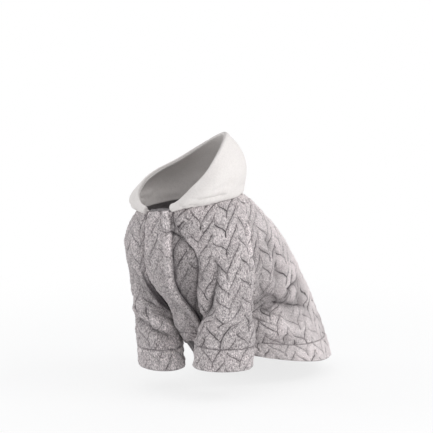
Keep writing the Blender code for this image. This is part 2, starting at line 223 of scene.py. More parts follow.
def follow(rows, names, name, position):  # a smooth line through the rows of a table
    known, values = (np.array([row[names.index(word)] for row in rows], dtype=float) for word in (names[0], name))
    slopes = np.gradient(values, known)
    cell = np.clip(np.searchsorted(known, position, side="right") - 1, 0, len(known) - 2)
    span = known[cell + 1] - known[cell]
    part = (position - known[cell]) / span
    start = (1 + 2 * part) * (1 - part) ** 2 * values[cell]
    end = part ** 2 * (3 - 2 * part) * values[cell + 1]
    pull = part * (1 - part) ** 2 * span * slopes[cell] - part ** 2 * (1 - part) * span * slopes[cell + 1]
    return start + end + pull


def ease(low, high, position):
    part = np.clip((position - low) / (high - low), 0, 1)
    return part * part * (3 - 2 * part)


def rise(start, deepest, end, position):  # from 0 up to 1 and back to 0
    return ease(start, deepest, position) * (1 - ease(deepest, end, position))


def bell(distance, width, centre=0.0):
    return np.exp(-((distance - centre) / width) ** 2)


def unit(vectors):
    return vectors / np.linalg.norm(vectors, axis=-1, keepdims=True)


def bodySurface(angle, along):
    ring = {name: follow(bodyRings, bodyColumns, name, along) for name in bodyColumns[1:]}
    across = np.sin(angle) * (1 + cornerFullness * np.cos(angle) ** 2)
    ahead = np.cos(angle) * (1 + cornerFullness * np.sin(angle) ** 2)
    narrowing = 1 - ring["pinch"] * ease(pinchStart, pinchFull, ahead)
    x = ring["halfWidth"] * across * narrowing
    y = (ring["frontY"] + ring["backY"]) / 2 + (ring["frontY"] - ring["backY"]) / 2 * ahead
    z = (ring["frontZ"] + ring["backZ"]) / 2 + (ring["frontZ"] - ring["backZ"]) / 2 * ahead
    z = z - ring["sideDrop"] * np.sin(angle) ** 2 + x * np.tan(np.radians(ring["rollDeg"]))
    return np.stack([x, y, z], axis=-1)


def surfaceNormal(surface, across, along, step=1e-3):
    byAcross = surface(across + step, along) - surface(across - step, along)
    byAlong = surface(across, along + step) - surface(across, along - step)
    return unit(np.cross(byAlong, byAcross))


def bodyNormal(angle, along):
    return surfaceNormal(bodySurface, angle, along)


def foldDepth(folds, across, along, acrossSize, alongSize):
    total = np.zeros_like(across)
    for fromAcross, fromAlong, toAcross, toAlong, width, depth in folds:
        run = np.array([(toAcross - fromAcross) * acrossSize, (toAlong - fromAlong) * alongSize])
        aside = (across - fromAcross) * acrossSize
        below = (along - fromAlong) * alongSize
        part = np.clip((aside * run[0] + below * run[1]) / (run @ run), 0, 1)
        distance = np.hypot(aside - part * run[0], below - part * run[1])
        total = total + depth * bell(2 * distance, width)
    return total


def bodyDepth(folds, angle, along):
    return foldDepth(folds, np.degrees(angle) % 360, along, bodyGirthPerDegree, bodyLength)


def lapAngle(along):
    return np.radians(follow(lapRows, lapColumns, "lapEdge", along))


def seamAngle(side, name, along):
    word = name if name == "back" else "frontLeft" if side > 0 else "frontRight"
    raglan = follow(raglanRows, raglanColumns, word, np.minimum(along, underarmAlong))
    side = follow(sideSeamRows, sideSeamColumns, "angle", along)
    return np.radians(np.where(along < underarmAlong, raglan, side))


def sleeveLift(name, along):
    return (clothThickness + seamGap) * ease(*sleeveLiftZone[name], along)


def ovalSizes(along):
    return [follow(sleeveOvals, sleeveColumns, name, along) for name in sleeveColumns[1:]]


def ovalPolar(x, y, along):
    centreX, centreY, wide, narrow, turnDeg = ovalSizes(along)
    tilt = np.radians(turnDeg)
    ahead = ((x - centreX) * np.cos(tilt) + (y - centreY) * np.sin(tilt)) / wide
    aside = ((y - centreY) * np.cos(tilt) - (x - centreX) * np.sin(tilt)) / narrow
    return np.arctan2(aside, ahead), np.hypot(aside, ahead)


def ovalPoint(turn, reach, along):
    centreX, centreY, wide, narrow, turnDeg = ovalSizes(along)
    tilt = np.radians(turnDeg)
    ahead = wide * reach * np.cos(turn)
    aside = narrow * reach * np.sin(turn)
    x = centreX + ahead * np.cos(tilt) - aside * np.sin(tilt)
    y = centreY + ahead * np.sin(tilt) + aside * np.cos(tilt)
    return x, y


def sleeveSurface(side, around, along):
    onBody = underarmAlong * np.minimum(along / underarmOnSleeve, 1)
    front = seamAngle(side, "front", onBody)
    back = seamAngle(side, "back", onBody)
    angle = side * (front + (back - front) * around)
    swell = shoulderSwell * ease(0, swellFull, onBody) * np.sin(math.pi * np.clip(around, 0, 1))
    lifts = [sleeveLift(name, onBody) for name in ("front", "back")]
    lift = lifts[0] + (lifts[1] - lifts[0]) * around
    skin = bodySurface(angle, onBody) + bodyNormal(angle, onBody) * (swell + lift)[..., None]
    edges = [bodySurface(side * seam, onBody) + bodyNormal(side * seam, onBody) * lift[..., None]
             for seam, lift in zip((front, back), lifts)]
    held = np.minimum(along, underarmOnSleeve)
    turns = []
    reaches = []
    for edge in edges:
        turn, reach = ovalPolar(side * edge[..., 0], edge[..., 1], held)
        turns.append(turn)
        reaches.append(1 + (reach - 1) * (1 - ease(underarmOnSleeve, underarmOnSleeve + ovalSettle, along)))
    turns[0] = np.where(turns[0] > math.radians(ovalTurnLimit), turns[0] - 2 * math.pi, turns[0])
    turn = turns[0] + (turns[1] - turns[0]) * around
    reach = 1 + (reaches[0] - 1) * (1 - around) ** 3 + (reaches[1] - 1) * around ** 3
    x, y = ovalPoint(turn, reach, along)
    blend = ease(ovalStart, ovalFull, onBody)
    below = np.maximum((along - underarmOnSleeve) / (1 - underarmOnSleeve), 0)
    cuffZ = cuffHeights["left" if side > 0 else "right"]
    z = skin[..., 2] + (cuffZ - skin[..., 2]) * below
    return np.stack([skin[..., 0] * (1 - blend) + side * x * blend, skin[..., 1] * (1 - blend) + y * blend, z],
                    axis=-1)


def hoodSurface(angle, up):
    seam = bodySurface(angle, np.zeros_like(angle))
    fromChest = np.degrees(np.abs(angle))
    height = follow(hoodRibs, hoodColumns, "height", fromChest) * (1 + hoodSkew * np.sin(angle))
    bulge = follow(hoodRibs, hoodColumns, "bulge", fromChest)
    lean = follow(hoodRibs, hoodColumns, "lean", fromChest)
    out = bulge * np.sin(math.pi * up) + lean * np.abs(up) ** hoodLeanPower
    x = seam[..., 0] + out * np.sin(angle)
    y = seam[..., 1] - out * np.cos(angle)
    return np.stack([x, y, seam[..., 2] + height * up], axis=-1)


def staged(down, middle, bottom):
    upper = middle * down / rowsAboveUnderarm
    lower = middle + (bottom - middle) * (down - rowsAboveUnderarm) / (1 - rowsAboveUnderarm)
    return np.where(down < rowsAboveUnderarm, upper, lower)


def sleeveNormal(side, around, along):
    def surface(across, down):
        return sleeveSurface(side, across, down)
    return surfaceNormal(surface, around, along) * side


def hoodNormal(angle):
    return -surfaceNormal(hoodSurface, angle, np.zeros_like(angle))


def neckMitre(angle):
    return unit(bodyNormal(angle, np.zeros_like(angle)) + hoodNormal(angle))


def raglanMitre(side, name, along, own):
    flat = bodyNormal(side * seamAngle(side, name, along), along)
    edge = np.full_like(along, 0.0 if name == "front" else 1.0)
    leaning = sleeveNormal(side, edge, along * underarmOnSleeve / underarmAlong)
    share = (1 - ease(*mitreEnd[name], along))[..., None]
    return unit(own * (1 - share) + unit(flat + leaning) * share)


def lapLift(angle, along):
    return (clothThickness + seamGap) * ease(-lapLiftStart, -lapLiftFull, angle / lapAngle(along))


def seamLine(which, along):
    side, word = which
    if word == "lap":
        return lapAngle(along)
    if word == "under":
        return -underLapShare * lapAngle(along)
    turn = seamAngle(side, word, along)
    return 2 * math.pi - turn if which == (-1, "back") else side * turn


def wander(u, v, size, seed):  # smooth and uneven, between about -1 and 1
    source = np.random.default_rng(seed)
    total = np.zeros_like(u)
    waves = 9
    for heading, phase, stretch in zip(source.uniform(0, math.pi, waves), source.uniform(0, 2 * math.pi, waves),
                                       source.uniform(0.7, 1.5, waves)):
        wave = math.pi / size * stretch
        total += np.sin((u * math.cos(heading) + v * math.sin(heading)) * wave + phase)
    return total / math.sqrt(waves)


def drifted(position, u, v, way, seed):
    for amount, size, step in braidDrift[way]:
        position = position + amount * wander(u, v, size, seed + step)
    return position


def braidField(grain, u, v, seed):
    place = drifted(grain, u, v, "across", seed) / braid["leafWidth"]
    fromTop = drifted(v, u, v, "down", seed)
    cell = np.floor(place)
    part = place - cell
    rightOfValley = cell % 2 == 0
    fromValley = np.where(rightOfValley, part, 1 - part)
    rise = np.where(rightOfValley, braid["steepRise"], braid["slightRise"])
    valley = np.floor((place + 1) / 2)
    climb = rise * (fromValley + braid["bow"] * np.sin(2 * math.pi * fromValley))
    stagger = braid["stagger"] * np.sin(valley * braid["staggerStep"] + seed)
    row = (fromTop + climb + stagger) / braid["pitch"]
    lean = np.where(rightOfValley, braidLean["steep"], braidLean["slight"])
    return place, row, fromValley, lean


def braidRelief(grain, u, v, seed):
    place, row, fromValley, lean = braidField(grain, u, v, seed)
    rowPart = row - np.floor(row)
    toChevron = np.minimum(rowPart, 1 - rowPart) * braid["pitch"] * lean
    stem = braid["stemFade"] * ease(*braid["stem"], rowPart)
    toValley = fromValley * braid["leafWidth"] + stem
    toPeak = (1 - fromValley) * braid["leafWidth"] + stem
    nearest = np.minimum(np.minimum(toChevron, toValley), toPeak)
    byColumn, byRow = pressing["leafSteps"]
    leafSway = np.sin(np.floor(place) * byColumn + np.floor(row) * byRow)
    sway = pressing["sway"] * wander(u, v, pressing["size"], seed + 2)
    strength = np.clip(pressing["middle"] + sway + pressing["leafSway"] * leafSway, pressing["least"], 1.0)
    groove = bell(nearest, braid["groove"])
    crown = 1 - np.exp(-(nearest / braid["crown"]) ** braid["crownPower"])
    pressed = strength * (braid["depth"] * crown - braid["press"] * groove)
    return pressed + (1 - strength) * pressing["unpressed"] * braid["depth"], place, row, strength


def pileRelief(u, v, seed):
    tuft = pile["height"] * wander(u, v, pile["tuft"], seed + 5)
    return tuft + pile["curlHeight"] * wander(u, v, pile["curl"], seed + 6)


def plushRelief(grain, u, v, settings):  # the heights, and what the material needs to know of them
    braided, place, row, strength = braidRelief(grain, u, v, settings["seed"])
    emboss = settings.get("emboss", 1.0)
    height = emboss * braided + (1 - emboss) * plainHeight + pileRelief(u, v, settings["seed"])
    return height, {"place": place, "row": row, "press": strength * emboss}


def fleeceRelief(grain, u, v, settings):
    height = fleeceBumps["middle"]
    for amount, size, step in fleeceBumps["sways"]:
        height = height + amount * wander(u, v, size, settings["seed"] + step)
    return height, {}


def stepsAcross(total):  # closer near both ends, so that an edge can be rounded
    margin = edgeSteps[-1]
    middle = np.linspace(margin, total - margin, max(2, round((total - 2 * margin) / meshStep) + 1))
    ends = np.array(edgeSteps[:-1])
    return np.concatenate([ends, middle, total - ends[::-1]]) / total


def lengths(points, axis):  # along the cloth, from its first row or column
    moves = np.linalg.norm(np.diff(points, axis=axis), axis=-1)
    start = np.zeros_like(np.take(moves, [0], axis=axis))
    return np.concatenate([start, np.cumsum(moves, axis=axis)], axis=axis)


def gridNormals(points, outward):
    byDown, byAcross = np.gradient(points, axis=(0, 1))
    return unit(np.cross(byDown, byAcross)) * outward


def drawnIn(points):  # each edge stops half a sewn gap short
    points = points.copy()
    for edge, inner in ((np.s_[:, 0], np.s_[:, 1]), (np.s_[:, -1], np.s_[:, -2]),
                        (np.s_[0], np.s_[1]), (np.s_[-1], np.s_[-2])):
        points[edge] += unit(points[inner] - points[edge]) * sewnGap / 2
    return points


def edgeProfile(kind, distance, alongEdge):
    shape = edgeShapes[kind]
    drop = np.zeros_like(distance)
    if "dip" in shape:
        drop = drop + shape["dip"] * bell(distance, shape["width"])
        drift = puckerDrift["turn"] * np.sin(alongEdge / puckerDrift["size"])
        ripple = np.sin(alongEdge * 2 * math.pi / shape["puckerPitch"] + drift)
        drop = drop + shape["pucker"] * ripple * np.exp(-distance / shape["reach"]) * ease(0, puckerStart, distance)
    if "roll" in shape:
        drift = rollSway["turn"] * np.sin(alongEdge / rollSway["driftSize"])
        uneven = 1 + rollSway["share"] * np.sin(alongEdge / rollSway["size"] + drift)
        drop = drop - shape["roll"] * uneven * bell(distance, shape["rollWidth"], shape["rollAt"])
    if "groove" in shape:
        drop = drop + shape["groove"] * bell(distance, shape["grooveWidth"], shape["grooveAt"])
    if "round" in shape:
        turnIn = np.clip(1 - distance / shape["round"], 0, 1)
        return drop, np.sqrt(np.maximum(1 - turnIn ** 2, thinnestEdge))
    return drop, np.ones_like(distance)


def paintedClothShading(settings, down, toSide, trough):  # painted light and shade: darker in a trough, lighter on a raised fold, a painted highlight on a rolled lap or ridge, and each piece darker or lighter from top to bottom where light or shade falls
    topShading, bottomShading = settings.get("tone", (1.0, 1.0))
    deep = ease(creaseShade["deepFrom"], 1.0, trough)
    darkening = creaseShade["share"] * trough + creaseShade["deepShare"] * deep
    tone = (topShading + (bottomShading - topShading) * down) * (1 - darkening)
    if settings["edges"][1] in ("lap", "ridge"):
        tone = tone * (1 + paintedRollHighlight["share"] * bell(toSide, paintedRollHighlight["width"], paintedRollHighlight["at"]))
    return tone


def seamShade(settings, across, down, edgeDistances, shut):  # dark at stitches, and painted shade along shut creases and crevices
    fromSide, toSide, fromTop, toBottom = edgeDistances
    toEdge = np.minimum(np.minimum(fromTop, toBottom), np.minimum(fromSide, toSide))
    shade = bell(toEdge, seamLineWidth)
    if shut is not None:
        shade = np.maximum(shade, shut(across, down))
    # crevices: lines of painted shade along a deep fold by a seam or under the lap edge
    for place, start, deepest, end, width, strength in settings.get("crevices", ()):
        line = np.array([np.interp(place, across[0], row) for row in fromSide])[:, None]
        shade = np.maximum(shade, strength * rise(start, deepest, end, down) * bell(fromSide, width, line))
    return shade


def addObject(name, data):
    made = bpy.data.objects.new(name, data)
    bpy.context.scene.collection.objects.link(made)
    return made


def bentSlab(name, middle, away, face, backing, marks, cut):  # a flat slab of cloth, bent to its place
    slab = bmesh.new()
    rows, columns = (count - 1 for count in middle.shape[:2])
    bmesh.ops.create_grid(slab, x_segments=columns, y_segments=rows, size=0.5)
    bmesh.ops.solidify(slab, geom=slab.faces[:], thickness=1.0)
    flat = np.array([vertex.co[:] for vertex in slab.verts])
    i = np.rint((flat[:, 0] + 0.5) * columns).astype(int)
    j = np.rint((0.5 - flat[:, 1]) * rows).astype(int)
    outer = np.abs(flat[:, 2]) < 0.5
    offset = np.where(outer, face[j, i], backing[j, i])
    bent = (middle[j, i] + away[j, i] * offset[:, None] - np.array(withers)) * mm
    for vertex, place in zip(slab.verts, bent):
        vertex.co = place
    bmesh.ops.recalc_face_normals(slab, faces=slab.faces[:])
    if slab.calc_volume(signed=True) < 0:
        bmesh.ops.reverse_faces(slab, faces=slab.faces[:])
    for part in slab.faces:
        part.smooth = True
    mesh = bpy.data.meshes.new(name + "Cloth")
    slab.to_mesh(mesh)
    slab.free()
    cornerVertex = np.zeros(len(mesh.loops), np.int32)
    mesh.loops.foreach_get("vertex_index", cornerVertex)
    clothMap = mesh.uv_layers.new(name="cloth")
    places = np.stack([way[j, i] for way in cut], axis=-1)[cornerVertex] * mm
    clothMap.data.foreach_set("uv", places.ravel())
    marks = {label: np.where(outer, values[j, i], 0) for label, values in marks.items()}
    for label, values in {**marks, "backing": np.where(outer, 0.0, 1.0)}.items():
        mesh.attributes.new(label, "FLOAT", "POINT").data.foreach_set("value", values)
    return mesh


def clothPiece(name, surface, standOff, settings, outward, mitres, material, relief=plushRelief, shut=None):
    size = settings["size"]
    acrossStops = stepsAcross(size[0])
    downStops = stepsAcross(size[1])
    across, down = np.meshgrid(acrossStops, downStops)
    middle = drawnIn(surface(across, down))
    normal = gridNormals(middle, outward)
    away = normal.copy()
    for (place, value), shared in mitres:
        line = np.s_[:, 0 if value == 0 else -1] if place == "across" else np.s_[0 if value == 0 else -1]
        toward = shared(across[line], down[line], normal[line])
        stretch = np.clip(np.sum(toward * normal[line], axis=-1), leastMitre, 1)
        away[line] = toward / stretch[:, None]
    fromSide = lengths(middle, 1)
    fromTop = lengths(middle, 0)
    toSide = fromSide[:, -1:] - fromSide
    toBottom = fromTop[-1:] - fromTop
    anchor = fromSide[:, [round(settings["anchor"] * (len(acrossStops) - 1))]]
    u = (fromSide - anchor) * outward
    v = fromTop + settings["shift"][1]
    grain = u
    if "valley" in settings:
        valley = follow(settings["valley"], ("down", "across"), "across", downStops)
        onValley = np.array([np.interp(place, acrossStops, row) for place, row in zip(valley, fromSide)])
        grain = (fromSide - onValley[:, None]) * outward
    if settings.get("grainFromSeams"):
        grain = np.minimum(fromSide, toSide)
    grain = grain + settings["shift"][0]
    drop = np.zeros_like(u)
    share = np.ones_like(u)
    sink = np.zeros_like(u)
    edgeDistances = (fromSide, toSide, fromTop, toBottom)
    for kind, distance, alongEdge in zip(settings["edges"], edgeDistances, (v, v, u, u)):
        edgeDrop, edgeShare = edgeProfile(kind, distance, alongEdge)
        drop += edgeDrop
        share = np.minimum(share, edgeShare)
    for edge, start, deepest, end, depth, width in settings.get("sinks", ()):
        sink += depth * rise(start, deepest, end, down) * bell(edgeDistances[edge], width)
    height, braidMarks = relief(grain, u, v, settings)
    face = settings["thickness"] / 2 * share + height * share - drop * share - sink
    sway = backingSway["height"] * wander(u, v, backingSway["size"], backingSway["seed"])
    backing = -settings["thickness"] / 2 * share + sway - sink
    # painted shade deepens with the depth of the trough, and a raised fold is painted lighter
    trough = (sink - standOff(across, down)) / creaseShade["fullDepth"]
    trough = np.clip(trough, creaseShade["ridgeLimit"], 1.0)
    stitchAndShadeMarks = seamShade(settings, across, down, edgeDistances, shut)
    marks = {**braidMarks, "seam": stitchAndShadeMarks, "tone": paintedClothShading(settings, down, toSide, trough)}
    mesh = bentSlab(name, middle, away, face, backing, marks, (u, v))
    mesh.materials.append(material)
    piece = addObject(name + "Cloth", mesh)
    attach(piece, "root")
    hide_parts(settings["node"])
    cutWidth = fromSide[:, -1].max() * mm
    cutLength = fromTop[-1].max() * mm
    print(name, "cut", round(cutWidth, 4), round(cutLength, 4), "faces", len(mesh.polygons), flush=True)


# Small creases, placed as the large folds are.
bodyCreases = (
    (116, 0.545, 97, 0.64, 5, -2.4),
    (124, 0.575, 103, 0.60, 5, -2.0),
    (87, 0.668, 112, 0.702, 4, -2.4),
    (92, 0.63, 107, 0.665, 9, 1.6),
    (91, 0.30, 79, 0.58, 9, -1.6),
    (100, 0.36, 88, 0.60, 8, 1.4),
    (111, 0.39, 97, 0.52, 7, -1.5),
    (113, 0.48, 103, 0.57, 7, 1.4),
    (74, 0.745, 84, 0.775, 5, -1.8),
    (79, 0.70, 86, 0.73, 5, -1.6),
    (13, 0.145, 22, 0.18, 5, -3.2),
    (17, 0.09, 24, 0.12, 5, -1.8),
    (4, 0.06, 9, 0.13, 6, -1.4),
    (346, 0.03, 352, 0.14, 7, -1.2),
    (62, 0.72, 80, 0.62, 7, -1.6),
    (92, 0.36, 99, 0.20, 7, -1.5),
    (118, 0.42, 124, 0.30, 8, -1.2),
    (100, 0.76, 118, 0.72, 7, -1.5),
    (86, 0.84, 70, 0.90, 8, -1.4),
    (128, 0.86, 138, 0.74, 9, -1.2),
    (232, 0.66, 246, 0.52, 8, -1.6),
    (268, 0.30, 258, 0.20, 7, -1.4),
    (222, 0.82, 210, 0.70, 9, -1.3),
    (165, 0.12, 172, 0.26, 8, -1.0),
    (192, 0.10, 186, 0.24, 8, -1.0),
)
sleeveCreases = {
    "left": (
        (0.02, 0.115, 0.12, 0.08, 5, -1.8),
        (0.13, 0.055, 0.20, 0.085, 4, -1.2),
        (0.12, 0.16, 0.30, 0.13, 6, -1.2),
        (0.44, 0.86, 0.56, 0.82, 8, -1.0),
        (0.12, 0.80, 0.22, 0.74, 7, -1.2),
        (0.72, 0.50, 0.66, 0.34, 8, -1.3),
        (0.86, 0.78, 0.94, 0.66, 8, -1.6),
    ),
    "right": (
        (0.42, 0.67, 0.13, 0.775, 6, -1.8),
        (0.40, 0.625, 0.14, 0.715, 11, 1.8),
        (0.28, 0.84, 0.40, 0.80, 8, -1.2),
        (0.46, 0.62, 0.34, 0.50, 8, -1.3),
        (0.70, 0.48, 0.66, 0.34, 8, -1.3),
        (0.84, 0.78, 0.92, 0.66, 8, -1.6),
    ),
}
hoodCreases = (
    (52, 0.30, 74, 0.16, 7, -1.8),
    (60, 0.44, 88, 0.30, 9, -1.2),
    (34, 0.30, 44, 0.12, 5, -1.4),
    (27, 0.55, 31, 0.15, 4, -1.3),
    (38, 0.60, 47, 0.34, 6, -0.9),
    (104, 0.20, 126, 0.14, 9, -1.2),
    (150, 0.32, 178, 0.22, 10, -1.3),
)
# Painted shade where a hood crease shuts tight: from one place to another, its width and strength.
hoodShutCreases = (
    (62, 0.26, 80, 0.17, 2.0, 0.5),
    (30, 0.42, 37, 0.2, 1.8, 0.35),
)
hoodHeightForFolds = 55.0

# Where a crease shuts tight, as dark as its own shadow: from one place to another, its width and strength.
sleeveShutCreases = {
    "left": (
        (0.265, 0.33, 0.21, 0.49, 3.2, 1.5),
        (0.21, 0.49, 0.16, 0.63, 3.2, 1.5),
        (0.02, 0.115, 0.12, 0.08, 3.0, 2.2),
        (0.14, 0.06, 0.19, 0.08, 2.0, 1.3),
    ),
    "right": (
        (0.42, 0.67, 0.13, 0.775, 2.4, 1.2),
        (0.10, 0.49, 0.055, 0.61, 3.0, 1.3),
        (0.36, 0.60, 0.20, 0.66, 2.0, 0.6),
    ),
}
shutCreases = (
    (87, 0.668, 112, 0.702, 2.8, 1.9),
    (124, 0.575, 103, 0.60, 3.0, 1.5),
    (116, 0.545, 97, 0.64, 2.6, 1.4),
    (84, 0.69, 94, 0.655, 2.2, 0.8),
    (74, 0.745, 84, 0.775, 2.2, 0.9),
    (79, 0.70, 86, 0.73, 2.0, 0.7),
    (13, 0.14, 21, 0.172, 3.4, 3.2),
    (264, 0.66, 244, 0.60, 2.4, 1.1),
    (268, 0.76, 256, 0.72, 2.2, 0.8),
)
gathers = {"deepestAt": 6, "spread": 34, "count": 26, "drift": 1.2, "driftCount": 9,
           "depth": 0.3, "moreByLap": 0.8, "length": 0.05}


def neckGathers(angle, along):  # short, down from the neck seam, deepest beside the lap
    turn = np.degrees(angle)
    turn = np.where(turn > 180, turn - 360, turn)
    near = bell(turn, gathers["spread"], gathers["deepestAt"])
    drift = gathers["drift"] * np.sin(np.radians(turn) * gathers["driftCount"])
    wave = np.sin(np.radians(turn) * gathers["count"] + drift)
    return (gathers["depth"] + gathers["moreByLap"] * near) * wave * np.exp(-along / gathers["length"])


def flatStandOff(across, down):
    return np.zeros_like(across)


def panel(name, lines, shares, band, lift, settings):
    stops = np.concatenate([[0], np.cumsum(shares)]) / sum(shares)

    def place(across, down):
        if band == "hem":
            along = hemBandStart + (1 - hemBandStart) * down
        else:
            along = staged(down, underarmAlong, hemBandStart)
        turns = [seamLine(line, along) for line in lines]
        cell = np.clip(np.searchsorted(stops, across, side="right") - 1, 0, len(shares) - 1)
        start = np.choose(cell, turns[:-1])
        end = np.choose(cell, turns[1:])
        return start + (end - start) * (across - stops[cell]) / (stops[cell + 1] - stops[cell]), along

    def standOff(across, down):
        angle, along = place(across, down)
        away = bodyDepth(bodyFolds, angle, along) + bodyDepth(bodyCreases, angle, along)
        return away if band == "hem" else away + neckGathers(angle, along)

    def surface(across, down):
        angle, along = place(across, down)
        away = standOff(across, down) + (lift(angle, along) if lift else 0)
        return bodySurface(angle, along) + bodyNormal(angle, along) * away[..., None]

    def atNeck(across, down, own):
        return neckMitre(place(across, down)[0])

    def atHem(across, down, own):
        return bodyNormal(place(across, down)[0], np.full_like(across, hemBandStart))

    mitres = [(("down", 0 if band == "hem" else 1), atHem)]
    if band != "hem":
        for value, (side, word) in ((0, lines[0]), (1, lines[-1])):
            if word in mitreEnd:
                def atRaglan(across, down, own, side=side, word=word):
                    return raglanMitre(side, word, place(across, down)[1], own)
                mitres.append((("across", value), atRaglan))
        mitres.append((("down", 0), atNeck))

    def shut(across, down):
        return bodyDepth(shutCreases, *place(across, down))

    clothPiece(name, surface, standOff, settings, 1, mitres, greyPlush, shut=shut)


def sleeve(word, side, settings):
    cuffTop = cuffStart[word]

    def sleeveAlong(down):
        return staged(down, underarmOnSleeve, cuffTop)

    def depth(folds, across, down):
        return foldDepth(folds[word], across, sleeveAlong(down), sleeveGirth, sleeveLength)

    def standOff(across, down):
        inside = ease(0, foldMargin, across) * ease(0, foldMargin, 1 - across)
        return inside * depth(sleeveFolds, across, down) + inside * depth(sleeveCreases, across, down)

    def surface(across, down):
        along = sleeveAlong(down)
        return sleeveSurface(side, across, along) \
            + sleeveNormal(side, across, along) * standOff(across, down)[..., None]

    def onBody(down):
        return np.minimum(sleeveAlong(down) / underarmOnSleeve, 1) * underarmAlong

    def atRaglan(name):
        return lambda across, down, own: raglanMitre(side, name, onBody(down), own)

    def atCuff(across, down, own):
        return sleeveNormal(side, across, np.full_like(across, cuffTop))

    def atNeck(across, down, own):
        front = seamAngle(side, "front", np.zeros_like(across))
        back = seamAngle(side, "back", np.zeros_like(across))
        return neckMitre(side * (front + (back - front) * across))

    def shut(across, down):
        return depth(sleeveShutCreases, across, down)

    mitres = ((("down", 1), atCuff), (("across", 0), atRaglan("front")), (("across", 1), atRaglan("back")),
              (("down", 0), atNeck))
    clothPiece("sleeve" + word.title(), surface, standOff, settings, side, mitres, greyPlush, shut=shut)


def cuff(word, side, settings):
    cuffTop = cuffStart[word]

    def surface(across, down):
        return sleeveSurface(side, across, cuffTop + (1 - cuffTop) * down)

    def atCuff(across, down, own):
        return sleeveNormal(side, across, np.full_like(across, cuffTop))

    mitres = ((("down", 0), atCuff),)
    clothPiece("cuff" + word.title(), surface, flatStandOff, settings, side, mitres, greyPlush)


def hood(word, side, settings):
    def turn(across):
        start = math.radians(hoodStartDeg)
        return side * (start + (math.pi - start) * across)

    def depth(folds, across, down):
        return foldDepth(folds, np.degrees(np.abs(turn(across))), 1 - down, 1.0, hoodHeightForFolds)

    def surface(across, down):
        form = hoodSurface(turn(across), 1 - down)
        return form + gridNormals(form, side) * depth(hoodCreases, across, down)[..., None]

    def atNeck(across, down, own):
        return neckMitre(turn(across))

    def shut(across, down):
        return depth(hoodShutCreases, across, down)

    mitres = ((("down", 1), atNeck),)
    clothPiece("hood" + word.title(), surface, flatStandOff, settings, side, mitres, whiteFleece, fleeceRelief, shut)


class Nodes:
    def __init__(self, owner, shader="Principled BSDF"):
        owner.use_nodes = True
        self.owner = owner
        self.tree = owner.node_tree
        self.shader = self.tree.nodes[shader]

    def add(self, kind, settings=None, **inputs):
        node = self.tree.nodes.new("ShaderNode" + kind)
        for key, value in (settings or {}).items():
            setattr(node, key, value)
        for key, value in inputs.items():
            self.plug(node.inputs[key.replace("_", " ")], value)
        return node

    def plug(self, socket, value):
        if isinstance(value, bpy.types.NodeSocket):
            self.tree.links.new(value, socket)
        else:
            socket.default_value = value

    def mark(self, name):
        return self.add("Attribute", {"attribute_name": name}).outputs["Fac"]

    def noise(self, vector, scale, detail, roughness, distortion=0.0):
        node = self.add("TexNoise", Scale=scale, Detail=detail, Roughness=roughness, Distortion=distortion)
        self.plug(node.inputs["Vector"], vector)
        return node.outputs["Fac"]

    def span(self, value, low, high, toLow=0.0, toHigh=1.0, kind="SMOOTHSTEP"):
        node = self.add("MapRange", {"interpolation_type": kind})
        inputs = {"Value": value, "From Min": low, "From Max": high, "To Min": toLow, "To Max": toHigh}
        for key, given in inputs.items():
            self.plug(node.inputs[key], given)
        return node.outputs["Result"]

    def mix(self, factor, first, second, blend="MIX"):
        node = self.add("Mix", {"data_type": "RGBA", "blend_type": blend, "clamp_factor": True})
        for place, value in ((0, factor), (6, first), (7, second)):
            self.plug(node.inputs[place], value)
        return node.outputs[2]

    def finish(self, colour, normal, look):
        inputs = {"Base Color": colour, "Roughness": look["roughness"], "Specular IOR Level": look["specular"],
                  "Sheen Weight": look["sheen"], "Sheen Roughness": look["sheenRoughness"], "Normal": normal}
        for key, value in inputs.items():
            self.plug(self.shader.inputs[key], value)
        return self.owner

    def blend(self, factor, second, output):  # the shader, and a second one where the factor is 1
        mixer = self.add("MixShader", Fac=factor)
        self.plug(mixer.inputs[1], self.shader.outputs[0])
        self.plug(mixer.inputs[2], second.outputs[0])
        self.plug(self.tree.nodes[output].inputs["Surface"], mixer.outputs[0])

    def maths(self, kind, first, second=0.0, third=0.0):
        node = self.add("Math", {"operation": kind})
        for place, value in enumerate((first, second, third)):
            self.plug(node.inputs[place], value)
        return node.outputs[0]

    def bump(self, height, strength, distance, below=None):
        node = self.add("Bump", Strength=strength, Distance=distance, Height=height)
        if below:
            self.plug(node.inputs["Normal"], below)
        return node.outputs["Normal"]


